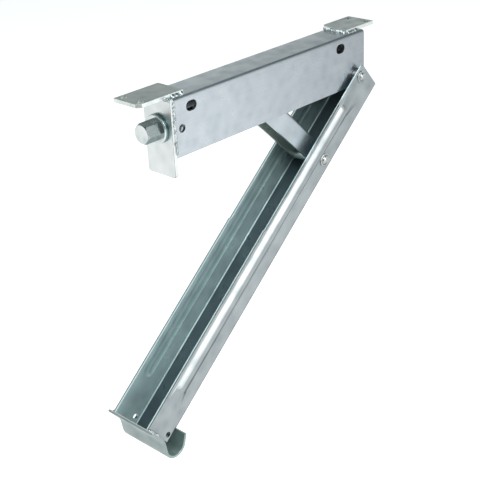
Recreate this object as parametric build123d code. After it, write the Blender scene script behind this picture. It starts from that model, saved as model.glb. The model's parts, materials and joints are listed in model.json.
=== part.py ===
from build123d import *
import os
from math import atan2, cos, degrees, hypot, radians, sin

# A screw-driven corner steady: a channel bolts under a chassis, a screw inside it draws
# a nut along, and the nut's link swings a long leg down. Millimetres.
# +X runs from the drive hex to the leg's pivot, +Z is up.
# The origin lies on the channel's middle plane, above the end plate's rear face,
# in the plane of the two tabs' upper faces, which meet the chassis.

# ---------------------------------------------------------------- driving dimensions
FIT = 0.02                # radial gap of a fixed pin or collar
RUNNING = 0.05            # radial gap of a shaft or pin that turns
SIDE_PLAY = 0.1           # end gap beside a part that turns

TAB_THICKNESS = 4.0
TAB_INSET = 5.9           # from the channel's near side to the tabs' edge
TAB_OVERHANG = 2.6        # beyond the channel's far side
FRONT_TAB_REACH = 38.0    # ahead of the channel
FRONT_TAB_LAP = 19.5      # on top of the channel
REAR_TAB_REACH = 24.5
REAR_TAB_LAP = 24.5
TAB_CHAMFER = 4.5         # the one corner of a tab that is cut off
BOLT_RADIUS = 3.75
BOLT_INSET = 8.0          # from a tab's end to its holes
BOLT_SPACING = 24.0       # between a tab's two holes

CHANNEL_LENGTH = 293.5
CHANNEL_WIDTH = 38.8
CHANNEL_HEIGHT = 60.0
CHANNEL_WALL = 3.0
CHANNEL_BEND = 0.2        # inside radius
SLOT_RADIUS = 5.25
SLOT_LENGTH = 14.2
SLOT_DROP = 12.0          # below the channel's top
FRONT_SLOT_X = 23.4
REAR_SLOT_INSET = 41.7    # from the channel's rear end
PIN_WINDOW_RADIUS = 4.2

END_PLATE_THICKNESS = 4.2
END_PLATE_DROP = 20.0     # below the channel
END_PLATE_CORNER = 3.0

SCREW_RADIUS = 8.0
SCREW_END_RADIUS = 6.0
HEX_ACROSS_FLATS = 19.0
HEX_LENGTH = 17.8
HEX_WALL = 3.5            # in front of the screw's spigot
HEX_CORNER_GAP = 0.2      # from the hex's corners to the cone that chamfers them
HEX_CHAMFER = 1.9
HEX_TURN = 9.0            # degrees, from a flat on top
THRUST_COLLAR_WALL = 7.0
THRUST_COLLAR_LENGTH = 4.2
THRUST_COLLAR_CHAMFER = 1.0
THRUST_COLLAR_GAP = 0.3   # to the end plate
BUSH_WALL = 2.0
BUSH_FLANGE = 2.5         # beyond the bush
BUSH_FLANGE_THICKNESS = 2.0
THRUST_WASHER_THICKNESS = 2.0
STOP_COLLAR_WALL = 5.0
STOP_COLLAR_LENGTH = 10.2
ROLL_PIN_RADIUS = 2.5
BEARING_PLATE_THICKNESS = 4.0
BEARING_PLATE_DROP = 13.0   # below the screw's middle
BEARING_PLATE_INSET = 18.0  # from the leg's pivot forward
END_WASHER_WALL = 2.8
END_WASHER_THICKNESS = 1.5
CLIP_THICKNESS = 1.0
CLIP_WIDTH = 2.6
CLIP_GROOVE = 0.6         # depth of a clip's groove
PIN_BEYOND_CLIP = 0.3
SCREW_BEYOND_CLIP = 1.5
SCREW_SHOULDER_GAP = 2.0  # from the thread's end to the bearing plate

PIVOT_INSET = 14.5        # from the channel's rear end to the leg's pivot
PIVOT_RISE = 10.2         # from the channel's lower edge to the leg's pivot
SCREW_RISE = 18.3         # from the leg's pivot up to the screw
PIN_RADIUS = 5.0
PIVOT_TUBE_RADIUS = 7.5

NUT_WALL = 3.7            # above and below the thread
NUT_LENGTH = 32.0
NUT_CHAMFER = 1.5
NUT_SIDE_GAP = 0.6        # to the link's walls
NUT_THREAD_GAP = 0.3      # to the screw
NUT_LUG_RADIUS = 9.5

LINK_SIDE_GAP = 1.9       # to the channel's walls
LINK_WALL = 3.0
LINK_BEND = 1.5
LINK_DEPTH = 25.0
LINK_LEG_EDGE = 7.6       # from the leg end's pin to the open edge
LINK_NUT_EDGE = 17.2      # from the nut end's pin to the open edge
LINK_LEG_CUT = 18.0       # from the leg end's pin to the web and to the full walls
LINK_NUT_CUT = 26.0       # from the nut end's pin to the web
LINK_PIN_RADIUS = 4.5
SLEEVE_RADIUS = 8.0
LINK_SPACER_RADIUS = 7.0

LEG_ANGLE = 39.8          # below level
LEG_LENGTH = 455.2        # from the pivot to the foot
LEG_TOP = 10.7            # from the pivot to the leg's upper end
LEG_GAP = 4.9             # between the channel and the leg's flanges
LEG_WALL = 3.0
LEG_BEND = 3.0
LEG_DEPTH = 41.5
LEG_EDGE = 9.8            # from the pivot to the flanges' open edges
LEG_EDGE_STEP = 1.2       # the flanges are lower above the step
LEG_STEP_S = 211.0
LEG_CORNER = 2.0
LINK_PIN_S = 101.5        # along the leg from its pivot
LINK_PIN_DROP = 17.4      # behind the pivot's line
RIB_START = 38.0
RIB_END_INSET = 48.2      # from the leg's lower end
RIB_MIDDLE = -3.0
RIB_WIDTH = 17.0
RIB_HEIGHT = 2.8
PIVOT_HEAD_RADIUS = 7.0
LINK_HEAD_RADIUS = 7.6
HEAD_HEIGHT = 3.6
RIVET_FLAT = 0.3          # flattened rib round the link rivet's head
PIVOT_SPACER_RADIUS = 9.0
FOOT_HOLE_RADIUS = 3.2
FOOT_HOLE_RISE = 7.2      # from the leg's lower end
FOOT_HOLE_DROP = 22.0     # behind the pivot's line

FOOT_THICKNESS = 3.0
FOOT_OVERHANG = 7.4       # beyond the leg on each side
FOOT_LIP = 19.0
FOOT_FLARE = 30.0         # degrees
FOOT_FLARE_BEND = 14.0
FOOT_SHEET = 12.0
FOOT_HOOK_BEND = 11.3
FOOT_HOOK = 155.0         # degrees
FOOT_BACK = 11.0

WELD = 3.0                # leg of a fillet weld
EDGE_WELD_WIDTH = 5.0
EDGE_WELD_HEIGHT = 1.3
EDGE_WELD_SHIFT = -0.6    # from the end plate's rear face
END_WELD_LENGTH = 52.0
TAB_WELD_LENGTH = 16.0
REAR_TAB_WELD_INSET = 3.0
FOOT_WELD_MARGIN = 1.0    # at each end of a foot weld
CUT = 1.0                 # how far a cut reaches past what it cuts

# ---------------------------------------------------------------- places worked out from them
channel_top = -TAB_THICKNESS
channel_bottom = channel_top - CHANNEL_HEIGHT
channel_half = CHANNEL_WIDTH / 2
channel_inside = channel_half - CHANNEL_WALL
slot_z = channel_top - SLOT_DROP
rear_slot_x = CHANNEL_LENGTH - REAR_SLOT_INSET
tab_near_edge = TAB_INSET - channel_half
tab_far_edge = channel_half + TAB_OVERHANG

pivot_x = CHANNEL_LENGTH - PIVOT_INSET
pivot_z = channel_bottom + PIVOT_RISE
screw_z = pivot_z + SCREW_RISE
bearing_x = pivot_x - BEARING_PLATE_INSET

leg_inside = channel_half + LEG_GAP
leg_outside = leg_inside + LEG_WALL
leg_back = LEG_EDGE - LEG_DEPTH
rib_end = LEG_LENGTH - RIB_END_INSET

crank = hypot(LINK_PIN_S, LINK_PIN_DROP)
crank_angle = LEG_ANGLE + degrees(atan2(LINK_PIN_DROP, LINK_PIN_S))
link_pin_x = pivot_x - crank * cos(radians(crank_angle))
link_pin_z = pivot_z - crank * sin(radians(crank_angle))
nut_x = pivot_x - 2 * crank * cos(radians(crank_angle))
link_outside = channel_inside - LINK_SIDE_GAP
link_inside = link_outside - LINK_WALL
nut_half = link_inside - NUT_SIDE_GAP

bush_radius = SCREW_RADIUS + BUSH_WALL
bush_flange_radius = bush_radius + BUSH_FLANGE
stop_radius = SCREW_RADIUS + STOP_COLLAR_WALL
nut_height = 2 * (SCREW_RADIUS + NUT_THREAD_GAP + NUT_WALL)
bush_face = BUSH_FLANGE_THICKNESS
washer_face = bush_face + SIDE_PLAY + THRUST_WASHER_THICKNESS
stop_start = washer_face + SIDE_PLAY
stop_middle = stop_start + STOP_COLLAR_LENGTH / 2
collar_back = -END_PLATE_THICKNESS - THRUST_COLLAR_GAP
collar_front = collar_back - THRUST_COLLAR_LENGTH
hex_front = collar_front - HEX_LENGTH
end_washer_start = bearing_x + BEARING_PLATE_THICKNESS + SIDE_PLAY
end_clip_start = end_washer_start + END_WASHER_THICKNESS + SIDE_PLAY
screw_end = end_clip_start + CLIP_THICKNESS + SCREW_BEYOND_CLIP
thread_end = bearing_x - SCREW_SHOULDER_GAP

leg_down = (-cos(radians(LEG_ANGLE)), 0, -sin(radians(LEG_ANGLE)))
leg_out = (-sin(radians(LEG_ANGLE)), 0, cos(radians(LEG_ANGLE)))
LEG = Plane(origin=(pivot_x, 0, pivot_z), x_dir=leg_down, z_dir=leg_out)

link_rise = LINK_NUT_EDGE - LINK_LEG_EDGE
link_reach = (crank**2 - link_rise**2) ** 0.5
link_angle = 180 - crank_angle + degrees(atan2(link_rise, link_reach))
link_along = (cos(radians(link_angle)), 0, sin(radians(link_angle)))
link_back = (sin(radians(link_angle)), 0, -cos(radians(link_angle)))
LINK = Plane(origin=(link_pin_x, 0, link_pin_z), x_dir=link_along, z_dir=link_back)


# ---------------------------------------------------------------- shapes that several pieces use
def block(x, y, z):
    """A block between two values of X, of Y and of Z."""
    spans = (x, y, z)
    middle = [(low + high) / 2 for low, high in spans]
    return Pos(*middle) * Box(*[high - low for low, high in spans])


def bar_x(radius, start, end, z=screw_z):
    """A round bar along X."""
    return extrude(Plane(origin=(start, 0, z), z_dir=(1, 0, 0)) * Circle(radius), end - start)


def bar_y(radius, half, x=0.0, z=0.0):
    """A round bar across the middle plane."""
    return Pos(x, 0, z) * Rot(90, 0, 0) * Cylinder(radius, 2 * half)


def both_sides(shape):
    """A shape and its mirror image across the middle plane."""
    return shape + mirror(shape, about=Plane.XZ)


def bent_strip(start, heading, steps, thickness):
    """The edge of a bent plate, as a face: its thickness lies left of the path.

    A number is a straight run, and (inside radius, degrees) is a bend, positive to the left.
    """
    right, left = [], []
    point = Vector(*start)
    for step in steps:
        ahead = Vector(cos(radians(heading)), sin(radians(heading)))
        across = Vector(-ahead.Y, ahead.X)
        if isinstance(step, tuple):
            inside, turn = step
            centre = point + across * (inside + thickness if turn > 0 else -inside)
            for rail, first in ((right, point), (left, point + across * thickness)):
                arm = first - centre
                middle, last = [centre + arm.rotate(Axis.Z, turn * part) for part in (0.5, 1)]
                rail.append(ThreePointArc(first, middle, last))
            heading += turn
        else:
            for rail, first in ((right, point), (left, point + across * thickness)):
                rail.append(Line(first, first + ahead * step))
        point = right[-1] @ 1
    caps = [Line(right[0] @ 0, left[0] @ 0), Line(right[-1] @ 1, left[-1] @ 1)]
    return make_face(right + left + caps)


def u_section(half, depth, wall, bend):
    """A channel's section, open upwards, with its lower face on the first axis."""
    flange = depth - wall - bend
    web = 2 * (half - wall - bend)
    steps = [flange, (bend, 90), web, (bend, 90), flange]
    return bent_strip((-half, depth), -90, steps, wall)


def fillet_weld(middle, side_a, side_b, leg, length):
    """A quarter-round bead in the corner between two faces."""
    along = Vector(*side_a).cross(Vector(*side_b))
    corner = Plane(origin=middle, x_dir=side_a, z_dir=along)
    section = Circle(leg) & Rectangle(leg, leg, align=(Align.MIN, Align.MIN))
    return extrude(corner * section, length / 2, both=True)


def collar(radius, bore, start, end):
    """A ring round the screw."""
    return bar_x(radius, start, end) - bar_x(bore, start - CUT, end + CUT)


def clip_section(groove_radius):
    """An open retaining ring."""
    ring = Circle(groove_radius + CLIP_WIDTH) - Circle(groove_radius)
    return ring - Pos(0, -groove_radius) * Rectangle(groove_radius, 2 * groove_radius)


def spacer(radius, bore, inner, outer, x=0.0, z=0.0):
    """A pair of rings between two distances from the middle plane."""
    ring = Circle(radius) - Circle(bore)
    one = extrude(Plane(origin=(x, inner, z), z_dir=(0, 1, 0)) * ring, outer - inner)
    return both_sides(one)


def rivet(shank, head, x=0.0, z=0.0):
    """A rivet through both of the leg's flanges, with a domed head outside each."""
    ball = (head**2 + HEAD_HEIGHT**2) / (2 * HEAD_HEIGHT)
    dome = Pos(x, leg_outside + HEAD_HEIGHT - ball, z) * Sphere(ball)
    outside = Pos(x, leg_outside + HEAD_HEIGHT, z) * Box(4 * head, 2 * HEAD_HEIGHT, 4 * head)
    return bar_y(shank, leg_outside, x, z) + both_sides(dome & outside)


# ---------------------------------------------------------------- the fixed frame
def top_channel():
    section = u_section(channel_half, CHANNEL_HEIGHT, CHANNEL_WALL, CHANNEL_BEND)
    upside_down = Plane(origin=(0, 0, channel_top), x_dir=(0, 1, 0), z_dir=(-1, 0, 0))
    shape = extrude(upside_down * section, -CHANNEL_LENGTH)
    slot_face = SlotOverall(SLOT_LENGTH, 2 * SLOT_RADIUS)
    slot = Rot(90, 0, 0) * extrude(slot_face, channel_half + CUT, both=True)
    for x in (FRONT_SLOT_X, rear_slot_x):
        shape -= Pos(x, 0, slot_z) * slot
    shape -= bar_y(PIN_WINDOW_RADIUS, channel_half + CUT, stop_middle, screw_z)
    return shape - bar_y(PIN_RADIUS + RUNNING, channel_half + CUT, pivot_x, pivot_z)


def front_end_plate():
    low = channel_bottom - END_PLATE_DROP
    plate = block((-END_PLATE_THICKNESS, 0), (-channel_half, channel_half), (low, channel_top))
    corners = plate.edges().filter_by(Axis.X).group_by(Axis.Z)[0]
    plate = fillet(corners, END_PLATE_CORNER)
    return plate - bar_x(bush_radius + FIT, -END_PLATE_THICKNESS - CUT, CUT)


def mounting_tab(free_end, inner_end, cut_corner):
    """A flat tab with two bolt holes near its free end, and one corner cut off."""
    span = sorted((free_end, inner_end))
    tab = block(span, (tab_near_edge, tab_far_edge), (-TAB_THICKNESS, 0))
    corner = tab.edges().filter_by(Axis.Z).sort_by_distance((*cut_corner, 0))[0]
    tab = chamfer(corner, TAB_CHAMFER)
    inward = 1 if inner_end > free_end else -1
    middle = (tab_near_edge + tab_far_edge) / 2
    hole = Pos(free_end + inward * BOLT_INSET, 0, -TAB_THICKNESS / 2)
    hole *= Cylinder(BOLT_RADIUS, 2 * TAB_THICKNESS)
    for y in (middle - BOLT_SPACING / 2, middle + BOLT_SPACING / 2):
        tab -= Pos(0, y, 0) * hole
    return tab


def end_plate_welds():
    """A flat bead down each upright edge, over the joint of the plate and the channel."""
    ball = ((EDGE_WELD_WIDTH / 2) ** 2 + EDGE_WELD_HEIGHT**2) / (2 * EDGE_WELD_HEIGHT)
    section = Pos(0, EDGE_WELD_HEIGHT - ball) * Circle(ball)
    section &= Rectangle(2 * ball, ball, align=(Align.CENTER, Align.MIN))
    middle = (EDGE_WELD_SHIFT, channel_half, channel_top - CHANNEL_HEIGHT / 2)
    edge = Plane(origin=middle, x_dir=(1, 0, 0), z_dir=(0, 0, 1))
    return both_sides(extrude(edge * section, END_WELD_LENGTH / 2, both=True))


def tab_welds(middle_x):
    """A bead on the channel's top beside the tab, and one under the tab's other edge."""
    beside = (middle_x, tab_near_edge, channel_top)
    near = fillet_weld(beside, (0, -1, 0), (0, 0, 1), WELD, TAB_WELD_LENGTH)
    under = (middle_x, channel_half, channel_top)
    far = fillet_weld(under, (0, 1, 0), (0, 0, -1), TAB_OVERHANG, TAB_WELD_LENGTH)
    return near + far


def rear_bearing_plate():
    end = bearing_x + BEARING_PLATE_THICKNESS
    top = channel_top - CHANNEL_WALL
    low = screw_z - BEARING_PLATE_DROP
    plate = block((bearing_x, end), (-channel_inside, channel_inside), (low, top))
    upper = plate.edges().filter_by(Axis.X).group_by(Axis.Z)[-1]
    plate = chamfer(upper, CHANNEL_BEND)
    return plate - bar_x(SCREW_END_RADIUS + RUNNING, bearing_x - CUT, end + CUT)


def front_bearing_bush():
    bush = bar_x(bush_radius, -END_PLATE_THICKNESS, bush_face)
    bush += bar_x(bush_flange_radius, 0, bush_face)
    return bush - bar_x(SCREW_RADIUS + RUNNING, -END_PLATE_THICKNESS - CUT, bush_face + CUT)


def leg_pivot_tube():
    tube = bar_y(PIVOT_TUBE_RADIUS, channel_inside, pivot_x, pivot_z)
    return tube - bar_y(PIN_RADIUS + RUNNING, channel_inside + CUT, pivot_x, pivot_z)


# ---------------------------------------------------------------- the screw and what turns with it
def lead_screw():
    spigot = bar_x(SCREW_END_RADIUS, hex_front + HEX_WALL, collar_front)
    shape = spigot + bar_x(SCREW_RADIUS, collar_front, thread_end)
    shape += bar_x(SCREW_END_RADIUS, thread_end, screw_end)
    groove_end = end_clip_start + CLIP_THICKNESS
    shape -= bar_x(2 * SCREW_RADIUS, end_clip_start, groove_end)
    shape += bar_x(SCREW_END_RADIUS - CLIP_GROOVE, end_clip_start, groove_end)
    return shape - bar_y(ROLL_PIN_RADIUS + FIT, 2 * SCREW_RADIUS, stop_middle, screw_z)


def drive_hex():
    flats = RegularPolygon(HEX_ACROSS_FLATS / 2, 6, major_radius=False, rotation=HEX_TURN)
    face = Plane(origin=(hex_front, 0, screw_z), x_dir=(0, 1, 0), z_dir=(1, 0, 0))
    shape = extrude(face * flats, HEX_LENGTH)
    corner = HEX_ACROSS_FLATS / 3**0.5
    blank = bar_x(corner + HEX_CORNER_GAP, hex_front, collar_front)
    shape &= chamfer(blank.edges().sort_by(Axis.X)[0], HEX_CHAMFER)
    return shape - bar_x(SCREW_END_RADIUS + FIT, hex_front + HEX_WALL, collar_front + CUT)


def thrust_collar():
    shape = collar(SCREW_RADIUS + THRUST_COLLAR_WALL, SCREW_RADIUS + FIT, collar_front, collar_back)
    rim = shape.edges().filter_by(GeomType.CIRCLE).group_by(Axis.X)[0].sort_by(SortBy.RADIUS)[-1]
    return chamfer(rim, THRUST_COLLAR_CHAMFER)


def inner_thrust_washer():
    return collar(bush_flange_radius, SCREW_RADIUS + FIT, bush_face + SIDE_PLAY, washer_face)


def inner_stop_collar():
    shape = collar(stop_radius, SCREW_RADIUS + FIT, stop_start, stop_start + STOP_COLLAR_LENGTH)
    return shape - bar_y(ROLL_PIN_RADIUS + FIT, 2 * stop_radius, stop_middle, screw_z)


def collar_roll_pin():
    pin = bar_y(ROLL_PIN_RADIUS, stop_radius, stop_middle, screw_z)
    return pin - bar_y(ROLL_PIN_RADIUS / 2, stop_radius + CUT, stop_middle, screw_z)


def screw_end_washer():
    radius = SCREW_END_RADIUS + END_WASHER_WALL
    end = end_washer_start + END_WASHER_THICKNESS
    return collar(radius, SCREW_END_RADIUS + FIT, end_washer_start, end)


def screw_end_clip():
    face = Plane(origin=(end_clip_start, 0, screw_z), x_dir=(0, 1, 0), z_dir=(1, 0, 0))
    return extrude(face * clip_section(SCREW_END_RADIUS - CLIP_GROOVE + FIT), CLIP_THICKNESS)


# ---------------------------------------------------------------- the nut and its pin
def traveller_nut():
    across = (-nut_half, nut_half)
    along = (-NUT_LENGTH / 2, NUT_LENGTH / 2)
    body = block(along, across, (SCREW_RISE - nut_height / 2, SCREW_RISE + nut_height / 2))
    body = chamfer(body.edges().filter_by(Axis.Y), NUT_CHAMFER)
    body += block((-NUT_LUG_RADIUS, NUT_LUG_RADIUS), across, (0, SCREW_RISE))
    body += bar_y(NUT_LUG_RADIUS, nut_half)
    body -= bar_y(PIN_RADIUS + FIT, nut_half + CUT)
    body -= bar_x(SCREW_RADIUS + NUT_THREAD_GAP, -NUT_LENGTH, NUT_LENGTH, SCREW_RISE)
    return Pos(nut_x, 0, pivot_z) * body


def trunnion_pin():
    end = link_outside + 2 * SIDE_PLAY + CLIP_THICKNESS
    pin = bar_y(PIN_RADIUS, end + PIN_BEYOND_CLIP, nut_x, pivot_z)
    return pin - spacer(2 * PIN_RADIUS, PIN_RADIUS - CLIP_GROOVE, end - CLIP_THICKNESS, end, nut_x, pivot_z)


def trunnion_clips():
    start = link_outside + 2 * SIDE_PLAY
    face = Plane(origin=(nut_x, start, pivot_z), x_dir=(1, 0, 0), z_dir=(0, 1, 0))
    return both_sides(extrude(face * clip_section(PIN_RADIUS - CLIP_GROOVE + FIT), CLIP_THICKNESS))


# ---------------------------------------------------------------- the link
def brace_link():
    """A channel whose open side faces down and forward; its pins lie at different depths."""
    end = link_reach + NUT_LUG_RADIUS
    section = u_section(link_outside, LINK_DEPTH, LINK_WALL, LINK_BEND)
    back = LINK_DEPTH - LINK_LEG_EDGE
    start = Plane(origin=(0, 0, back), x_dir=(0, 1, 0), z_dir=(-1, 0, 0))
    shape = extrude(start * section, -end) + bar_y(LINK_LEG_EDGE, link_outside)
    width = 2 * link_outside
    shape -= block((-2 * back, LINK_LEG_CUT), (-width, width), (LINK_LEG_EDGE, 2 * back))
    shape -= block((link_reach - LINK_NUT_CUT, 2 * end), (-link_inside, link_inside), (-2 * back, 2 * back))
    shape -= block((-2 * back, LINK_LEG_CUT), (-link_inside, link_inside), (-2 * back, 2 * back))
    shape -= bar_y(LINK_PIN_RADIUS + RUNNING, width)
    shape -= bar_y(PIN_RADIUS + RUNNING, width, link_reach, link_rise)
    return LINK.location * shape


def link_rivet_sleeve():
    sleeve = bar_y(SLEEVE_RADIUS, link_inside)
    sleeve -= bar_y(LINK_PIN_RADIUS + RUNNING, link_inside + CUT)
    return LINK.location * sleeve


# ---------------------------------------------------------------- the leg
def swaged_rib(radius):
    """A round-ended bar that bulges a flange; its middle lies inside the flange.

    The number is how much larger its radius is than the outer face's.
    """
    half = RIB_WIDTH / 2
    ball = (half**2 + RIB_HEIGHT**2) / (2 * RIB_HEIGHT)
    y = leg_outside + RIB_HEIGHT - ball
    start, end = RIB_START + half, rib_end - half
    across = Plane(origin=(start, y, RIB_MIDDLE), z_dir=(1, 0, 0))
    bar = extrude(across * Circle(ball + radius), end - start)
    for x in (start, end):
        bar += Pos(x, y, RIB_MIDDLE) * Sphere(ball + radius)
    return bar


def leg_channel():
    section = u_section(leg_outside, LEG_DEPTH, LEG_WALL, LEG_BEND)
    top = Plane(origin=(-LEG_TOP, 0, leg_back), x_dir=(0, 1, 0), z_dir=(1, 0, 0))
    shape = extrude(top * section, LEG_TOP + LEG_LENGTH)
    across = (-leg_outside, leg_outside)
    shape -= block((-2 * LEG_TOP, LEG_STEP_S), across, (LEG_EDGE - LEG_EDGE_STEP, 2 * LEG_EDGE))
    upper = shape.edges().filter_by(Axis.Y).group_by(Axis.X)[0].group_by(Axis.Z)[-1]
    shape = fillet(upper, LEG_CORNER)
    beyond = block((0, LEG_LENGTH), (leg_outside, 2 * leg_outside), (leg_back, LEG_EDGE))
    flat = bar_y(LINK_HEAD_RADIUS + RIVET_FLAT, leg_outside + HEAD_HEIGHT, LINK_PIN_S, -LINK_PIN_DROP)
    ridge = (swaged_rib(0) & beyond) - flat
    across = (leg_inside - LEG_WALL / 2, 2 * leg_outside)
    within = block((0, LEG_LENGTH), across, (leg_back, LEG_EDGE))
    groove = swaged_rib(-LEG_WALL) & within
    shape = shape + both_sides(ridge) - both_sides(groove)
    shape -= bar_y(PIN_RADIUS + FIT, 2 * leg_outside)
    shape -= bar_y(LINK_PIN_RADIUS + FIT, 2 * leg_outside, LINK_PIN_S, -LINK_PIN_DROP)
    shape -= bar_y(FOOT_HOLE_RADIUS, 2 * leg_outside, LEG_LENGTH - FOOT_HOLE_RISE, -FOOT_HOLE_DROP)
    return LEG.location * shape


def leg_pivot_rivet():
    return LEG.location * rivet(PIN_RADIUS, PIVOT_HEAD_RADIUS)


def link_rivet():
    return LEG.location * rivet(LINK_PIN_RADIUS, LINK_HEAD_RADIUS, LINK_PIN_S, -LINK_PIN_DROP)


def pivot_spacers():
    inner = channel_half + 2 * SIDE_PLAY
    return LEG.location * spacer(PIVOT_SPACER_RADIUS, PIN_RADIUS + FIT, inner, leg_inside)


def link_spacers():
    bore = LINK_PIN_RADIUS + FIT
    inner = link_outside + 2 * SIDE_PLAY
    return LEG.location * spacer(LINK_SPACER_RADIUS, bore, inner, leg_inside, LINK_PIN_S, -LINK_PIN_DROP)


def foot_plate():
    """A wide plate across the leg's end, which curls behind the leg into a hook."""
    flare = (FOOT_FLARE_BEND, FOOT_FLARE)
    hook = (FOOT_HOOK_BEND, -FOOT_HOOK)
    steps = [FOOT_LIP, flare, FOOT_SHEET, hook, FOOT_BACK]
    profile = bent_strip((LEG_LENGTH, LEG_EDGE), -90, steps, FOOT_THICKNESS)
    side = Plane(origin=(0, 0, 0), x_dir=(1, 0, 0), z_dir=(0, -1, 0))
    return LEG.location * extrude(side * profile, leg_outside + FOOT_OVERHANG, both=True)


def foot_welds():
    """Beads where the flanges' outer faces meet the foot."""
    length = FOOT_LIP - 2 * FOOT_WELD_MARGIN
    middle = (LEG_LENGTH, leg_outside, LEG_EDGE - FOOT_LIP / 2)
    bead = fillet_weld(middle, (0, 1, 0), (-1, 0, 0), WELD, length)
    return LEG.location * both_sides(bead)


# ---------------------------------------------------------------- the nodes
front_tab_end = -FRONT_TAB_REACH
front_tab_middle = FRONT_TAB_LAP - TAB_WELD_LENGTH / 2
rear_tab_inner = CHANNEL_LENGTH - REAR_TAB_LAP
rear_tab_end = CHANNEL_LENGTH + REAR_TAB_REACH
rear_tab_middle = rear_tab_inner + REAR_TAB_WELD_INSET + TAB_WELD_LENGTH / 2

nodes = {
    "top_channel": top_channel(),
    "front_end_plate": front_end_plate(),
    "front_mounting_tab": mounting_tab(front_tab_end, FRONT_TAB_LAP, (front_tab_end, tab_near_edge)),
    "rear_mounting_tab": mounting_tab(rear_tab_end, rear_tab_inner, (rear_tab_inner, tab_far_edge)),
    "end_plate_welds": end_plate_welds(),
    "front_tab_welds": tab_welds(front_tab_middle),
    "rear_tab_welds": tab_welds(rear_tab_middle),
    "rear_bearing_plate": rear_bearing_plate(),
    "front_bearing_bush": front_bearing_bush(),
    "leg_pivot_tube": leg_pivot_tube(),
    "lead_screw": lead_screw(),
    "drive_hex": drive_hex(),
    "thrust_collar": thrust_collar(),
    "inner_thrust_washer": inner_thrust_washer(),
    "inner_stop_collar": inner_stop_collar(),
    "collar_roll_pin": collar_roll_pin(),
    "screw_end_washer": screw_end_washer(),
    "screw_end_clip": screw_end_clip(),
    "traveller_nut": traveller_nut(),
    "trunnion_pin": trunnion_pin(),
    "trunnion_clips": trunnion_clips(),
    "brace_link": brace_link(),
    "link_rivet_sleeve": link_rivet_sleeve(),
    "leg_channel": leg_channel(),
    "leg_pivot_rivet": leg_pivot_rivet(),
    "link_rivet": link_rivet(),
    "pivot_spacers": pivot_spacers(),
    "link_spacers": link_spacers(),
    "foot_plate": foot_plate(),
    "foot_welds": foot_welds(),
}

os.makedirs("parts", exist_ok=True)
for name, shape in nodes.items():
    export_step(shape, f"parts/{name}.step")
    print(f"{name}: {len(shape.solids())} solid(s)")
print(f"pivot ({pivot_x:.3f}, {pivot_z:.3f}) screw z {screw_z:.3f} slot z {slot_z:.3f}")
print(f"link pin ({link_pin_x:.3f}, {link_pin_z:.3f}) nut pin x {nut_x:.3f}")
print(f"crank {crank:.3f} at {crank_angle:.3f} degrees")
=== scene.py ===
# %% [markdown]
# # A drop-down corner steady
#
# This notebook dresses a corner steady: the leg that is wound down under a caravan
# to stop it rocking. The steel parts come from a CAD frame, at their real size.
# Here they get soft edges, weld beads, a real screw thread, rivet heads and zinc
# finishes. Everything is in metres. X runs along the screw, Z is up.

# %% Load the frame
import bpy
import json
import random
from math import cos, pi, radians, sin
from mathutils import Matrix, Vector


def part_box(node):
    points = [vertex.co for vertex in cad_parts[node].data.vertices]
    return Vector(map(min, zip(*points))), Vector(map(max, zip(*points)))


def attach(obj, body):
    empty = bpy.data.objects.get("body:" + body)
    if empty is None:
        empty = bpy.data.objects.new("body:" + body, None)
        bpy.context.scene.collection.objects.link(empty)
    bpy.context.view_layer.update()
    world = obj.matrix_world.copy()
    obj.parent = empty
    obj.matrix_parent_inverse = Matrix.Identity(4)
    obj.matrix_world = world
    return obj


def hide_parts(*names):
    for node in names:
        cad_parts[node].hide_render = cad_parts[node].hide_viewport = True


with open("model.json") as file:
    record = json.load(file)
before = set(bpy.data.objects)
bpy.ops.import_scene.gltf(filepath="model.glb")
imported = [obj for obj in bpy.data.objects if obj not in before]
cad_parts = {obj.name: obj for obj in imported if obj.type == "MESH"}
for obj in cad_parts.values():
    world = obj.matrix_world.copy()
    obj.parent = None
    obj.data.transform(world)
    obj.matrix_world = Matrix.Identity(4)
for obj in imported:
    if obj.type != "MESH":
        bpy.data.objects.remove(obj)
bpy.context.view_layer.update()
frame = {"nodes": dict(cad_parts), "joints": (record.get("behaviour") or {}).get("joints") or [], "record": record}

# %% [markdown]
# ## Camera and stage
#
# The camera comes first, so that every later choice can be judged in the picture.
# It could be placed by hand, but a camera aimed at a point from an azimuth, a height
# and a distance is easier to change.

# %% The camera
MM = 0.001
AIM = Vector((118.7, 10.6, -205.7)) * MM
CAMERA_AZIMUTH = -45.45
CAMERA_ELEVATION = 25.88
CAMERA_ROLL = -3.0
CAMERA_DISTANCE = 1.2317
CAMERA_LENS = 83.13
CAMERA_SHIFT = (-0.0118, -0.0017)


def direction(azimuth, elevation):
    """The unit vector from the object towards a viewer."""
    a, e = radians(azimuth), radians(elevation)
    return Vector((sin(a) * cos(e), -cos(a) * cos(e), sin(e)))


bpy.ops.object.select_all(action="DESELECT")
bpy.ops.object.camera_add()
camera = bpy.context.object
camera.name = "view"
back = direction(CAMERA_AZIMUTH, CAMERA_ELEVATION)
camera.rotation_mode = "QUATERNION"
roll = Matrix.Rotation(radians(CAMERA_ROLL), 4, "Z").to_quaternion()
camera.rotation_quaternion = back.to_track_quat("Z", "Y") @ roll
camera.location = AIM + back * CAMERA_DISTANCE
camera.data.lens = CAMERA_LENS
camera.data.shift_x, camera.data.shift_y = CAMERA_SHIFT
bpy.context.scene.camera = camera
bpy.context.scene.view_settings.view_transform = "Standard"
print("the camera stands", round(camera.location.length, 3), "m from the origin")

# %% [markdown]
# A zinc finish shows mostly what it reflects, so the light matters as much as the
# metal. The floor is a light table, a white sheet that glows a little: it whitens the
# upright walls, which mirror it. It lies below the foot even when the leg is wound
# right down, because the steady hangs from a chassis. The sky is pale at the horizon and a dark blue-green
# overhead, so that the top faces turn grey and the trough of the leg turns dark. One
# end of the room stays dark, which draws the thin dark lines round domes and bends.

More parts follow.
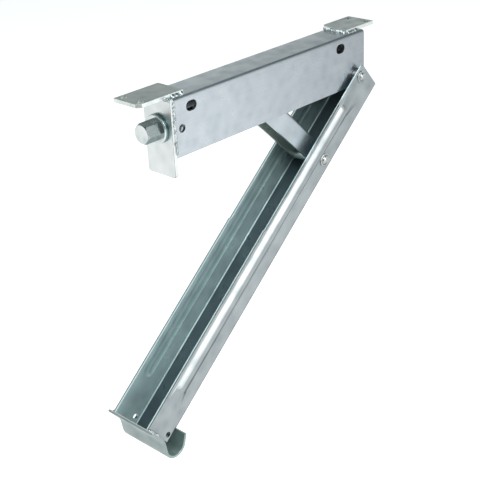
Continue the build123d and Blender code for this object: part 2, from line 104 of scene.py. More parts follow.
# %% The floor
FLOOR_SIZE = 16.0
FLOOR_LEVEL = -0.53
FLOOR_COLOUR = (0.62, 0.62, 0.62, 1)
FLOOR_GLOW = 0.72


def new_material(name):
    material = bpy.data.materials.new(name)
    material.use_nodes = True
    return material


floor_finish = new_material("light_table")
floor_shader = floor_finish.node_tree.nodes["Principled BSDF"]
floor_shader.inputs["Base Color"].default_value = FLOOR_COLOUR
floor_shader.inputs["Roughness"].default_value = 0.9
floor_shader.inputs["Specular IOR Level"].default_value = 0.1
floor_shader.inputs["Emission Color"].default_value = (1, 1, 1, 1)
floor_shader.inputs["Emission Strength"].default_value = FLOOR_GLOW

bpy.ops.mesh.primitive_plane_add(size=FLOOR_SIZE, location=(0, 0, FLOOR_LEVEL))
floor = bpy.context.object
floor.name = "floor"
floor.data.materials.append(floor_finish)


# %% The lights
def add_area_light(name, azimuth, elevation, distance, size, power):
    """A soft square light that shines at the object's middle."""
    bpy.ops.object.light_add(type="AREA")
    lamp = bpy.context.object
    lamp.name = name
    towards = direction(azimuth, elevation)
    lamp.rotation_mode = "QUATERNION"
    lamp.rotation_quaternion = towards.to_track_quat("Z", "Y")
    lamp.location = AIM + towards * distance
    lamp.data.size = size
    lamp.data.energy = power
    return lamp


add_area_light("overhead", -110, 84, 2.1, 1.5, 31)
add_area_light("key", -26, 45, 1.9, 1.0, 16)
add_area_light("front", 8, 12, 1.9, 1.3, 11)

# %% The sky
SKY_STOPS = (
    (0.00, (0.90, 0.90, 0.90)),
    (0.50, (0.90, 0.91, 0.91)),
    (0.61, (0.80, 0.84, 0.84)),
    (0.72, (0.52, 0.57, 0.56)),
    (0.81, (0.15, 0.21, 0.215)),
    (1.00, (0.07, 0.10, 0.105)),
)
DARK_END = direction(CAMERA_AZIMUTH, 8)
DARK_COLOUR = (0.13, 0.17, 0.17, 1)
world = bpy.data.worlds.new("studio")
bpy.context.scene.world = world
world.use_nodes = True
sky = world.node_tree
place = sky.nodes.new("ShaderNodeTexCoord")
split = sky.nodes.new("ShaderNodeSeparateXYZ")
lift = sky.nodes.new("ShaderNodeMapRange")
lift.inputs["From Min"].default_value = -1
ramp = sky.nodes.new("ShaderNodeValToRGB")
while len(ramp.color_ramp.elements) < len(SKY_STOPS):
    ramp.color_ramp.elements.new(0.5)
for stop, (height, colour) in zip(ramp.color_ramp.elements, SKY_STOPS):
    stop.position = height
    stop.color = (*colour, 1)
towards_dark = sky.nodes.new("ShaderNodeVectorMath")
towards_dark.operation = "DOT_PRODUCT"
towards_dark.inputs[1].default_value = DARK_END
fade = sky.nodes.new("ShaderNodeMapRange")
fade.interpolation_type = "SMOOTHSTEP"
fade.inputs["From Min"].default_value = cos(radians(42))
fade.inputs["From Max"].default_value = cos(radians(16))
mixed = sky.nodes.new("ShaderNodeMix")
mixed.data_type = "RGBA"
mixed.inputs[7].default_value = DARK_COLOUR
sky.links.new(place.outputs["Generated"], split.inputs[0])
sky.links.new(place.outputs["Generated"], towards_dark.inputs[0])
sky.links.new(split.outputs["Z"], lift.inputs["Value"])
sky.links.new(lift.outputs["Result"], ramp.inputs["Fac"])
sky.links.new(towards_dark.outputs["Value"], fade.inputs["Value"])
sky.links.new(fade.outputs["Result"], mixed.inputs["Factor"])
sky.links.new(ramp.outputs["Color"], mixed.inputs[6])
sky.links.new(mixed.outputs[2], sky.nodes["Background"].inputs["Color"])

# %% [markdown]
# ## Effects that several finishes share
#
# Zinc is never one flat grey. It has a faint cloudy mottle where the coat settled,
# fine lines from the rolling mill, and a few scuffs. Each effect is a node group
# with its own scale, so that every finish can use it in its own way.

# %% Helpers for node groups
def new_group(name, inputs, output):
    """A shader node group with float inputs, given as {name: value}, and one float output."""
    group = bpy.data.node_groups.new(name, "ShaderNodeTree")
    group.interface.new_socket("Vector", in_out="INPUT", socket_type="NodeSocketVector")
    for label, value in inputs.items():
        socket = group.interface.new_socket(label, in_out="INPUT", socket_type="NodeSocketFloat")
        socket.default_value = value
    group.interface.new_socket(output, in_out="OUTPUT", socket_type="NodeSocketFloat")
    start = group.nodes.new("NodeGroupInput")
    end = group.nodes.new("NodeGroupOutput")
    return group, start, end


def add_node(tree, kind, values=None, **settings):
    """A node with its settings, and with the values of its input sockets."""
    node = tree.nodes.new("ShaderNode" + kind)
    for key, value in settings.items():
        setattr(node, key, value)
    for key, value in (values or {}).items():
        node.inputs[key].default_value = value
    return node


def maths(tree, operation, first, second=None, clamp=False):
    """A Math node fed by sockets or numbers. Returns its output."""
    node = add_node(tree, "Math", operation=operation, use_clamp=clamp)
    for index, value in enumerate((first, second)):
        if value is None:
            continue
        if isinstance(value, (int, float)):
            node.inputs[index].default_value = value
        else:
            tree.links.new(value, node.inputs[index])
    return node.outputs[0]


# %% Mottle: soft patches of brighter and duller zinc
def make_mottle():
    group, start, end = new_group("zinc_mottle", {"Scale": 90.0}, "Mask")
    cells = add_node(group, "TexVoronoi", feature="SMOOTH_F1")
    cells.inputs["Smoothness"].default_value = 0.9
    cloud = add_node(group, "TexNoise", {"Detail": 4.0, "Roughness": 0.62})
    slow = maths(group, "MULTIPLY", start.outputs["Scale"], 0.42)
    for node, scale in ((cells, start.outputs["Scale"]), (cloud, slow)):
        group.links.new(start.outputs["Vector"], node.inputs["Vector"])
        group.links.new(scale, node.inputs["Scale"])
    both = maths(group, "ADD", cells.outputs["Distance"], cloud.outputs["Fac"])
    spread = maths(group, "MULTIPLY", maths(group, "SUBTRACT", both, 0.55), 1.5, clamp=True)
    group.links.new(spread, end.inputs["Mask"])
    return group


# %% Mill lines: long fine streaks along local X
def make_mill_lines():
    group, start, end = new_group("mill_lines", {"Scale": 900.0}, "Lines")
    stretch = add_node(group, "Mapping", vector_type="POINT")
    stretch.inputs["Scale"].default_value = (0.02, 1.0, 1.0)
    grain = add_node(group, "TexNoise", {"Detail": 3.0, "Roughness": 0.7})
    group.links.new(start.outputs["Vector"], stretch.inputs["Vector"])
    group.links.new(stretch.outputs["Vector"], grain.inputs["Vector"])
    group.links.new(start.outputs["Scale"], grain.inputs["Scale"])
    group.links.new(grain.outputs["Fac"], end.inputs["Lines"])
    return group


# %% Scuffs: sparse short marks where the coat was rubbed
def make_scuffs():
    group, start, end = new_group("scuffs", {"Scale": 40.0, "Amount": 0.5}, "Marks")
    field = add_node(group, "TexNoise", {"Detail": 6.0, "Roughness": 0.75, "Distortion": 1.2})
    group.links.new(start.outputs["Vector"], field.inputs["Vector"])
    group.links.new(start.outputs["Scale"], field.inputs["Scale"])
    limit = maths(group, "SUBTRACT", 0.80, maths(group, "MULTIPLY", start.outputs["Amount"], 0.25))
    above = maths(group, "SUBTRACT", field.outputs["Fac"], limit)
    group.links.new(maths(group, "MULTIPLY", above, 9.0, clamp=True), end.inputs["Marks"])
    return group


# %% Inside: one where a surface of a channel faces the channel's own hollow
def make_inside():
    """Walls face the middle plane. The web leans the open way, nearer in than Limit."""
    inputs = {"X": 0.0, "Y": 0.0, "Z": 1.0, "Limit": 0.02}
    group, start, end = new_group("inside", inputs, "Mask")
    group.interface.new_socket("Normal", in_out="INPUT", socket_type="NodeSocketVector")
    place, lean = add_node(group, "SeparateXYZ"), add_node(group, "SeparateXYZ")
    group.links.new(start.outputs["Vector"], place.inputs[0])
    group.links.new(start.outputs["Normal"], lean.inputs[0])
    outward = maths(group, "MULTIPLY", place.outputs["Y"], lean.outputs["Y"])
    wall = maths(group, "MULTIPLY", outward, -400.0, clamp=True)
    open_way = add_node(group, "CombineXYZ")
    for axis in "XYZ":
        group.links.new(start.outputs[axis], open_way.inputs[axis])
    facing = add_node(group, "VectorMath", operation="DOT_PRODUCT")
    group.links.new(start.outputs["Normal"], facing.inputs[0])
    group.links.new(open_way.outputs[0], facing.inputs[1])
    off_middle = maths(group, "ABSOLUTE", place.outputs["Y"])
    nearer = maths(group, "SUBTRACT", start.outputs["Limit"], off_middle)
    nearer = maths(group, "MULTIPLY", nearer, 4000.0, clamp=True)
    web = maths(group, "MULTIPLY", facing.outputs["Value"], nearer, clamp=True)
    group.links.new(maths(group, "MAXIMUM", wall, web), end.inputs["Mask"])
    return group


# %% Leaning: rises from nothing to one as a vector reaches out in a direction
def make_leaning():
    inputs = {"X": 0.0, "Y": 0.0, "Z": 1.0, "Low": 0.5, "High": 1.0}
    group, start, end = new_group("leaning", inputs, "Mask")
    direction_of = add_node(group, "CombineXYZ")
    for axis in "XYZ":
        group.links.new(start.outputs[axis], direction_of.inputs[axis])
    towards = add_node(group, "VectorMath", operation="DOT_PRODUCT")
    group.links.new(start.outputs["Vector"], towards.inputs[0])
    group.links.new(direction_of.outputs[0], towards.inputs[1])
    rise = add_node(group, "MapRange")
    group.links.new(towards.outputs["Value"], rise.inputs["Value"])
    group.links.new(start.outputs["Low"], rise.inputs["From Min"])
    group.links.new(start.outputs["High"], rise.inputs["From Max"])
    group.links.new(rise.outputs["Result"], end.inputs["Mask"])
    return group


MOTTLE, MILL_LINES, SCUFFS = make_mottle(), make_mill_lines(), make_scuffs()
INSIDE, LEANING = make_inside(), make_leaning()
print("node groups:", [group.name for group in bpy.data.node_groups])

# %% [markdown]
# ## The finishes
#
# All the metal parts share one recipe: a metal whose colour drifts with the mottle,
# whose gloss changes with the mottle and the scuffs, and whose mill lines are a very
# shallow bump. The recipe is a function, and each part gives it its own tint, gloss
# and grain direction. The leg's grain is turned to run down the leg. A channel's
# hollow gets painted light and shade: a tint and less mirror, brighter and greener in
# the leg's trough, darker and greener in the link.

# %% Places and directions
JOINTS = {joint["name"]: joint for joint in frame["joints"]}
PIVOT = Vector(JOINTS["leg_fold"]["pos_m"])
LINK_PIN = Vector(JOINTS["link_swing"]["pos_m"])
NUT_PIN = Vector(JOINTS["nut_level"]["pos_m"])
SCREW_AXIS = Vector(JOINTS["screw_turn"]["pos_m"])
LEG_ANGLE = radians(39.8)
LEG_LENGTH = 455.2 * MM
LEG_DOWN = Vector((-cos(LEG_ANGLE), 0, -sin(LEG_ANGLE)))
LEG_OUT = Vector((-sin(LEG_ANGLE), 0, cos(LEG_ANGLE)))
UP, DOWN = Vector((0, 0, 1)), Vector((0, 0, -1))
NEAR, FAR = Vector((0, -1, 0)), Vector((0, 1, 0))
FORWARD, REARWARD = Vector((-1, 0, 0)), Vector((1, 0, 0))
LINK_OPEN = (LINK_PIN - NUT_PIN).cross(NEAR).normalized()


# %% The shared recipe
MILL_SCALE = 900.0
BUMP_DEPTH = 0.4 * MM


def point_at(node, towards):
    """Fills a group's X, Y and Z inputs with a direction."""
    for axis, value in zip("XYZ", towards.normalized()):
        node.inputs[axis].default_value = value


def tinted(tree, colour, tint, share, clamp=False):
    """The colour, multiplied by a tint where the share is one."""
    shade = add_node(
        tree, "Mix", data_type="RGBA", blend_type="MULTIPLY", clamp_result=clamp,
    )
    shade.inputs[7].default_value = (*tint, 1)
    tree.links.new(share, shade.inputs["Factor"])
    tree.links.new(colour, shade.inputs[6])
    return shade.outputs[2]


def zinc_finish(
    name, bright, dull, roughness, mottle,
    tilt=0.0, bump=0.08, metal=1.0, inner=None, painted_light=(),
):
    """A zinc coat: bright and dull are its two tints, tilt turns its mill lines about Y.

    inner, if given, is for a channel's hollow: (half its width, the way it is open, the
    tint of painted light and shade multiplied in there, how much of the metal's mirror
    is left there).
    The last argument lists painted highlights and shade as (tint, tests): the tint goes
    where every test passes. A test is (source, direction, low, high), with the source
    "Normal" for how far a surface leans that way or "Object" for how far out it lies.
    """
    material = new_material(name)
    tree = material.node_tree
    shader = tree.nodes["Principled BSDF"]
    place = add_node(tree, "TexCoord")
    turn = add_node(tree, "Mapping", vector_type="POINT")
    turn.inputs["Rotation"].default_value = (0, tilt, 0)
    tree.links.new(place.outputs["Object"], turn.inputs["Vector"])
    effects = {}
    scales = ((MOTTLE, {"Scale": mottle}), (MILL_LINES, {"Scale": MILL_SCALE}), (SCUFFS, {}))
    for group, values in scales:
        node = add_node(tree, "Group", values, node_tree=group)
        tree.links.new(turn.outputs["Vector"], node.inputs["Vector"])
        effects[group.name] = node.outputs[0]
    tint = add_node(tree, "Mix", data_type="RGBA")
    tint.inputs[6].default_value = (*dull, 1)
    tint.inputs[7].default_value = (*bright, 1)
    tree.links.new(effects["zinc_mottle"], tint.inputs["Factor"])
    streak = add_node(tree, "Mix", data_type="RGBA", blend_type="MULTIPLY")
    streak.inputs["Factor"].default_value = 0.16
    tree.links.new(tint.outputs[2], streak.inputs[6])
    tree.links.new(effects["mill_lines"], streak.inputs[7])
    colour = streak.outputs[2]
    # painted light and shade in a channel's hollow: its own tint and less mirror
    if inner:
        limit, open_way, hollow_painted_tint, inner_metal = inner
        mask = add_node(tree, "Group", {"Limit": limit}, node_tree=INSIDE)
        point_at(mask, open_way)
        tree.links.new(place.outputs["Object"], mask.inputs["Vector"])
        tree.links.new(place.outputs["Normal"], mask.inputs["Normal"])
        mirror = maths(tree, "MULTIPLY", mask.outputs[0], inner_metal - metal)
        tree.links.new(maths(tree, "ADD", mirror, metal), shader.inputs["Metallic"])
        colour = tinted(tree, colour, hollow_painted_tint, mask.outputs[0])
    # painted highlights and shade, each tint where all its tests pass
    for painted_tint, tests in painted_light:
        share = 1.0
        for source, towards, low, high in tests:
            lean = add_node(tree, "Group", {"Low": low, "High": high}, node_tree=LEANING)
            point_at(lean, towards)
            tree.links.new(place.outputs[source], lean.inputs["Vector"])
            share = maths(tree, "MULTIPLY", lean.outputs[0], share)
        colour = tinted(tree, colour, painted_tint, share, clamp=True)
    tree.links.new(colour, shader.inputs["Base Color"])
    rough = maths(tree, "MULTIPLY", effects["zinc_mottle"], -0.12)
    rough = maths(tree, "ADD", rough, roughness + 0.06)
    rough = maths(tree, "ADD", rough, maths(tree, "MULTIPLY", effects["scuffs"], 0.18), clamp=True)
    tree.links.new(rough, shader.inputs["Roughness"])
    height = maths(tree, "MULTIPLY", effects["mill_lines"], 0.35)
    height = maths(tree, "ADD", height, effects["zinc_mottle"])
    relief = add_node(tree, "Bump")
    relief.inputs["Strength"].default_value = bump
    relief.inputs["Distance"].default_value = BUMP_DEPTH
    tree.links.new(height, relief.inputs["Height"])
    tree.links.new(relief.outputs["Normal"], shader.inputs["Normal"])
    shader.inputs["Metallic"].default_value = metal
    return material


# %% [markdown]
# The light alone doesn't give every streak and outline, so the accents paint light and
# shade into the colour: painted highlights on the near rib's upper slope, the leg's free
# edges, the tabs' edges, the foot's lip, the fronts of turned parts and the tops of rivet
# domes; painted light on the foot's upright faces; painted shade on the rib's lower slope,
# the rib inside the far flange, the leg's web, the far flange under the channel, the end
# plate's rims, the collar's side, the channel's rear and the lower sides of domes.
# Painting masks by hand would do, but a test on where a surface lies and which way it
# leans keeps working when a size changes. Each accent is a tint and such tests.

# %% Measures that the accents need
SHEET_WALL = 3.0 * MM
RIB_HEIGHT = 2.8 * MM
channel_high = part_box("top_channel")[1]
leg_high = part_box("leg_channel")[1]
leg_flat = leg_high.y - RIB_HEIGHT
leg_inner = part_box("pivot_spacers")[1].y + SHEET_WALL / 2
link_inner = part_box("brace_link")[1].y - SHEET_WALL / 2
leg_reach = [vertex.co.dot(LEG_OUT) for vertex in frame["nodes"]["leg_channel"].data.vertices]
half_depth = (min(leg_reach) + max(leg_reach)) / 2
under_channel = PIVOT.dot(LEG_DOWN) + 90 * MM
lip_back = -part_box("foot_plate")[0].x - 20 * MM

# %% Tests that come back in several accents
leans_open = ("Normal", LEG_OUT, 0.80, 0.97)
near_half = ("Object", NEAR, 0, MM)
far_half = ("Object", FAR, 0, MM)
rib_upper = NEAR + 0.6 * LEG_OUT
rib_lower = NEAR - 0.6 * LEG_OUT

# %% The accents: painted light and shade
# painted shade: the channel is tinted darker towards its rear end
SHEET_PAINTED_SHADE = (((0.72, 0.72, 0.73), (("Object", REARWARD, 0.06, 0.30),)),)
# painted highlight along the leg's free edges
free_edge_painted_highlight = (
    (1.55, 1.50, 1.50),
    (leans_open, ("Object", LEG_OUT, half_depth - MM, half_depth + MM)),
)
shade_under_channel = (
    (0.50, 0.52, 0.52),
    (
        ("Normal", NEAR, 0.5, 0.8),
        far_half,
        ("Object", LEG_DOWN, under_channel + 110 * MM, under_channel),
    ),
)
# painted shade: the leg's web is tinted almost black
web_painted_shade = (
    (0.095, 0.115, 0.13),
    (leans_open, ("Object", LEG_OUT, half_depth + MM, half_depth - MM)),
)
# painted highlight on the near rib's upper slope; painted shade on its lower slope and on the rib's upper slope
# inside the far flange
rib_painted_highlight = ((1.55, 1.50, 1.46), (("Normal", rib_upper, 0.935, 0.96), near_half))
rib_painted_shade = ((0.32, 0.34, 0.36), (("Normal", rib_lower, 0.935, 0.96), near_half))
far_rib_painted_shade = ((0.62, 0.66, 0.66), (("Normal", rib_upper, 0.92, 0.97), far_half))
LEG_PAINTED_LIGHT = (
    free_edge_painted_highlight, shade_under_channel, web_painted_shade, rib_painted_highlight, rib_painted_shade, far_rib_painted_shade,
)
# painted shade: dark lines on the end plate's rounded near, far and lower edges
PLATE_PAINTED_SHADE = tuple(
    ((0.22, 0.25, 0.25), (("Normal", FORWARD + side, 0.72, 0.80),)) for side in (NEAR, FAR, DOWN)
)
# painted highlight on the tabs' near and front edge faces
TAB_PAINTED_HIGHLIGHT = tuple(
    ((1.9, 1.85, 1.85), (("Normal", side, 0.90, 0.98),)) for side in (NEAR, FORWARD)
)
# painted highlight on the top of the foot's front lip; painted light, paler and greener, on the foot's upright
# faces behind it
FOOT_PAINTED_LIGHT = (
    (
        (3.2, 2.7, 2.7),
        (("Normal", UP, 0.72, 0.92), ("Object", FORWARD, lip_back, lip_back + MM)),
    ),
    (
        (1.10, 1.25, 1.20),
        (("Normal", UP, -0.10, 0.25), ("Object", FORWARD, lip_back, lip_back - MM)),
    ),
)
# painted light and shade on turned parts: lighter fronts, slightly darker tops, darker lower near faces
TURNED_PAINTED_LIGHT = (
    ((1.75, 1.62, 1.62), (("Normal", FORWARD, 0.85, 0.98),)),
    ((0.92, 0.95, 0.95), (("Normal", UP, 0.55, 0.85),)),
    ((0.58, 0.64, 0.64), (("Normal", NEAR + DOWN, 0.55, 0.85),)),
)
# painted shade: the collar's side is tinted dark blue-green
COLLAR_PAINTED_SHADE = (((0.28, 0.42, 0.42), (("Normal", FORWARD, 0.6, 0.2),)),)
# painted highlight on the upper near side of each rivet dome, painted shade on its lower near side
DOME_PAINTED_LIGHT = (
    ((2.2, 2.2, 2.2), (("Normal", NEAR + UP, 0.80, 1.00),)),
    ((0.25, 0.28, 0.28), (("Normal", NEAR + DOWN, 0.78, 1.00),)),
)

# %% One material for each kind of part
SHEET = zinc_finish(
    "channel_zinc", (0.525, 0.57, 0.605), (0.445, 0.49, 0.525), 0.32, 85.0,
    painted_light=SHEET_PAINTED_SHADE,
)
# painted light in the leg's trough: its hollow is tinted brighter and greener, with less mirror
LEG_SHEET = zinc_finish(
    "leg_zinc", (0.36, 0.395, 0.41), (0.27, 0.30, 0.315), 0.33, 60.0,
    tilt=LEG_ANGLE, inner=(leg_inner, LEG_OUT, (1.75, 2.05, 2.0), 0.3), painted_light=LEG_PAINTED_LIGHT,
)
# painted shade in the link's hollow: it is tinted darker and greener, with less mirror
LINK_SHEET = zinc_finish(
    "link_zinc", (0.50, 0.555, 0.59), (0.42, 0.47, 0.505), 0.33, 60.0,
    tilt=-LEG_ANGLE, inner=(link_inner, LINK_OPEN, (0.72, 0.80, 0.70), 0.5),
)
PLATE = zinc_finish(
    "plate_zinc", (0.76, 0.78, 0.78), (0.68, 0.71, 0.71), 0.33, 90.0, painted_light=PLATE_PAINTED_SHADE,
)
TAB = zinc_finish(
    "tab_zinc", (0.42, 0.46, 0.445), (0.34, 0.38, 0.365), 0.36, 90.0, painted_light=TAB_PAINTED_HIGHLIGHT,
)
FOOT = zinc_finish(
    "foot_zinc", (0.30, 0.36, 0.355), (0.215, 0.27, 0.265), 0.38, 60.0, metal=0.6,
    painted_light=FOOT_PAINTED_LIGHT,
)
TURNED = zinc_finish(
    "turned_zinc", (0.44, 0.49, 0.49), (0.33, 0.385, 0.385), 0.22, 120.0, bump=0.02,
    painted_light=TURNED_PAINTED_LIGHT,
)
COLLAR = zinc_finish(
    "collar_zinc", (0.70, 0.74, 0.74), (0.58, 0.63, 0.63), 0.22, 120.0, bump=0.02,
    painted_light=COLLAR_PAINTED_SHADE,
)
RIVET = zinc_finish(
    "rivet_zinc", (0.40, 0.42, 0.42), (0.32, 0.34, 0.34), 0.28, 120.0, bump=0.02,
    painted_light=DOME_PAINTED_LIGHT,
)
WELD = zinc_finish("weld_zinc", (0.62, 0.66, 0.67), (0.20, 0.25, 0.26), 0.24, 260.0, bump=0.05)
SCREW = zinc_finish("screw_steel", (0.42, 0.43, 0.43), (0.22, 0.22, 0.21), 0.28, 200.0, bump=0.03)
BRONZE = zinc_finish("oiled_bronze", (0.55, 0.42, 0.24), (0.36, 0.27, 0.14), 0.36, 200.0, bump=0.03)
SPRING = zinc_finish("spring_black", (0.12, 0.12, 0.13), (0.06, 0.06, 0.07), 0.42, 200.0, bump=0.03)

FINISH_OF_SLOT = {
    "galvanised_sheet": SHEET,
    "zinc_plate": PLATE,
    "weld_bead": WELD,
    "plated_fastener": TURNED,
    "screw_steel": SCREW,
    "oiled_bronze": BRONZE,
    "spring_steel": SPRING,
}
FINISH_OF_NODE = {
    "leg_channel": LEG_SHEET,
    "brace_link": LINK_SHEET,
    "foot_plate": FOOT,
    "front_mounting_tab": TAB,
    "rear_mounting_tab": TAB,
    "thrust_collar": COLLAR,
    # painted shade: the pivot and link spacers take the dark screw steel so that they read dark in the shade
    # between the parts
    "pivot_spacers": SCREW,
    "link_spacers": SCREW,
}
SLOT_OF_NODE = {part["node"]: part["material_slot"] for part in frame["record"]["subparts"]}
BODY_OF_NODE = {
    node: body for body, nodes in frame["record"]["behaviour"]["bodies"].items() for node in nodes
}


def finish_of(node):
    return FINISH_OF_NODE.get(node, FINISH_OF_SLOT[SLOT_OF_NODE[node]])


def dress(piece, finish):
    piece.data.materials.clear()
    piece.data.materials.append(finish)


for node, piece in frame["nodes"].items():
    dress(piece, finish_of(node))

# %% [markdown]
# ## Soft edges
#
# Sheared and pressed steel never has a knife edge. The small round along each edge
# catches the light and outlines the part. The CAD solids are sharp, so each part is
# copied, its loose triangles are merged into one skin, and a narrow bevel goes round
# every corner. A bevel shader would cost less, but it gives no real geometry.

# %% Helpers for pieces
MERGE = 1e-6


def only(piece):
    """Selects one object alone and makes it the active one."""
    bpy.ops.object.select_all(action="DESELECT")
    piece.select_set(True)
    bpy.context.view_layer.objects.active = piece


def stands_for(piece, node):
    """The piece rides with the node's body, and the node is hidden so the piece shows in its place."""
    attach(piece, BODY_OF_NODE[node])
    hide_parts(node)
    return piece


def apply_modifier(piece, kind, **settings):
    modifier = piece.modifiers.new(kind.lower(), kind)
    for key, value in settings.items():
        setattr(modifier, key, value)
    only(piece)
    bpy.ops.object.modifier_apply(modifier=modifier.name)


# %% A softened copy of a CAD node
BEVEL_ANGLE = radians(35)


def softened(node, width):
    """A copy of a CAD node with a narrow round on each sharp edge."""
    piece = bpy.data.objects.new(node + "_soft", frame["nodes"][node].data.copy())
    bpy.context.scene.collection.objects.link(piece)
    only(piece)
    bpy.ops.object.mode_set(mode="EDIT")
    bpy.ops.mesh.select_all(action="SELECT")
    bpy.ops.mesh.customdata_custom_splitnormals_clear()
    bpy.ops.mesh.remove_doubles(threshold=MERGE)
    bpy.ops.mesh.dissolve_limited(angle_limit=radians(0.3))
    bpy.ops.object.mode_set(mode="OBJECT")
    bpy.ops.object.shade_smooth_by_angle(angle=BEVEL_ANGLE)
    apply_modifier(
        piece, "BEVEL", width=width, segments=3, limit_method="ANGLE",
        angle_limit=BEVEL_ANGLE, harden_normals=True, use_clamp_overlap=True,
    )
    return stands_for(piece, node)


# %% Every visible part gets its own width
SOFT_WIDTHS = {
    "top_channel": 0.55,
    "front_end_plate": 0.95,
    "front_mounting_tab": 0.8,
    "rear_mounting_tab": 0.8,
    "rear_bearing_plate": 0.5,
    "brace_link": 0.5,
    "leg_channel": 0.7,
    "foot_plate": 0.9,
    "drive_hex": 0.35,
    "thrust_collar": 0.4,
    "traveller_nut": 0.5,
    "trunnion_pin": 0.3,
    "trunnion_clips": 0.15,
    "screw_end_clip": 0.15,
    "screw_end_washer": 0.2,
    "pivot_spacers": 0.3,
    "link_spacers": 0.3,
    "link_rivet_sleeve": 0.3,
    "inner_stop_collar": 0.5,
    "front_bearing_bush": 0.2,
}
for node, width in SOFT_WIDTHS.items():
    piece = softened(node, width * MM)
    print(piece.name, len(piece.data.polygons), "faces")

# %% [markdown]
# ## Weld beads
#
# A weld laid by hand is a row of frozen puddles, each half over the last. It could be
# a displaced tube, but real puddles differ, so each is a flattened ball with its own
# size and lean. A voxel remesh then melts the row into one skin.

# %% A bead from a row of puddles
VOXEL = 0.24 * MM


def weld_piece(name, node, beads, seed):
    """beads is a list of (start, end, outward, width, height, spacing), in metres."""
    chance = random.Random(seed)
    bpy.ops.object.select_all(action="DESELECT")
    puddles = 0
    for start, end, outward, width, height, spacing in beads:
        run = end - start
        along = run.normalized()
        outward = outward.normalized()
        across = outward.cross(along)
        axes = Matrix((along, across, outward)).transposed().to_4x4()
        count = max(2, round(run.length / spacing))
        for step in range(count):
            lean = Matrix.Rotation(radians(chance.uniform(-14, 14)), 4, "Z")
            tip = Matrix.Rotation(radians(chance.uniform(8, 22)), 4, "Y")
            middle = start + run * ((step + 0.5) / count)
            middle += across * chance.uniform(-0.08, 0.08) * width
            size = (
                spacing * chance.uniform(0.85, 1.15),
                width / 2 * chance.uniform(0.86, 1.12),
                height * chance.uniform(0.82, 1.15),
            )
            bpy.ops.mesh.primitive_uv_sphere_add(
                segments=20, ring_count=12, radius=1, location=middle, scale=size,
                rotation=(axes @ lean @ tip).to_euler(),
            )
            if puddles == 0:
                piece = bpy.context.object
                bpy.ops.object.transform_apply(location=True, rotation=True, scale=True)
                bpy.ops.object.mode_set(mode="EDIT")
            puddles += 1
    bpy.ops.object.mode_set(mode="OBJECT")
    piece.name = name
    apply_modifier(piece, "REMESH", mode="VOXEL", voxel_size=VOXEL, use_smooth_shade=True)
    apply_modifier(piece, "SMOOTH", factor=0.5, iterations=2)
    dress(piece, WELD)
    print(name, puddles, "puddles,", len(piece.data.polygons), "faces")
    return stands_for(piece, node)


# %% Beads down the end plate's upright edges
weld_low, weld_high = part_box("end_plate_welds")
plate_low, plate_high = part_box("front_end_plate")
edge_beads = []
for side in (NEAR, FAR):
    y = side.y * channel_high.y
    top = Vector((plate_high.x, y, weld_high.z))
    bottom = Vector((plate_high.x, y, weld_low.z))
    edge_beads.append((top, bottom, side, 3.4 * MM, 0.95 * MM, 3.6 * MM))
weld_piece("end_plate_beads", "end_plate_welds", edge_beads, 3)

# %% Beads at the front tab: beside it, under its far edge and on the end plate's top
tab_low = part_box("front_mounting_tab")[0]
bead_low, bead_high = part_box("front_tab_welds")
top_z = channel_high.z
beside = [Vector((x, tab_low.y, top_z)) for x in (bead_low.x, bead_high.x)]
under = [Vector((x, channel_high.y, top_z)) for x in (bead_low.x, bead_high.x)]
cross = [Vector((plate_low.x, y * MM, top_z)) for y in (-18.6, -7.0)]
front_beads = [
    (beside[0], beside[1], NEAR + UP, 6.6 * MM, 2.5 * MM, 4.6 * MM),
    (under[0], under[1], FAR + DOWN, 4.6 * MM, 1.9 * MM, 3.0 * MM),
    (cross[0], cross[1], FORWARD + DOWN, 4.8 * MM, 1.9 * MM, 2.9 * MM),
]
weld_piece("front_tab_beads", "front_tab_welds", front_beads, 11)

# %% Beads at the rear tab: beside it, under its far edge and along its inner end
tab_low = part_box("rear_mounting_tab")[0]
bead_low, bead_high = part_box("rear_tab_welds")
beside = [Vector((x, tab_low.y, top_z)) for x in (bead_low.x, bead_high.x)]
under = [Vector((x, channel_high.y, top_z)) for x in (bead_low.x, bead_high.x)]
inner = [Vector((tab_low.x, y, top_z)) for y in (tab_low.y + 2 * MM, channel_high.y - 3 * MM)]
rear_beads = [
    (beside[0], beside[1], NEAR + UP, 6.0 * MM, 2.4 * MM, 2.8 * MM),
    (under[0], under[1], FAR + DOWN, 4.6 * MM, 1.9 * MM, 3.0 * MM),
    (inner[0], inner[1], FORWARD + UP, 6.4 * MM, 2.7 * MM, 1.7 * MM),
]
weld_piece("rear_tab_beads", "rear_tab_welds", rear_beads, 29)

# %% Beads where the leg's flanges meet the foot
foot_top = PIVOT + LEG_DOWN * LEG_LENGTH
foot_beads = []
for side in (NEAR, FAR):
    begin = foot_top + LEG_OUT * (8.0 * MM) + side * leg_flat
    finish = foot_top - LEG_OUT * (9.0 * MM) + side * leg_flat
    foot_beads.append((begin, finish, side - LEG_DOWN, 5.8 * MM, 2.5 * MM, 3.2 * MM))
weld_piece("foot_beads", "foot_welds", foot_beads, 41)

# %% [markdown]
# ## The screw's thread
#
# The CAD screw is a plain bar at the thread's outer size. The real one has a coarse
# square-shouldered thread of 4 mm lead. A Screw modifier turns one closed section
# round the axis, and a thinner bar is the thread's core.

# %% The thread's sizes
THREAD_LEAD = 4.0 * MM
THREAD_DEPTH = 1.7 * MM
THREAD_TURN_STEPS = 28
screw_low, screw_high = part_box("lead_screw")
thread_radius = (screw_high.y - screw_low.y) / 2
core_radius = thread_radius - THREAD_DEPTH
end_radius = 6.0 * MM
thread_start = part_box("inner_stop_collar")[1].x + 1.0 * MM
thread_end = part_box("rear_bearing_plate")[0].x - 2.0 * MM
turns = int((thread_end - thread_start) / THREAD_LEAD) - 1


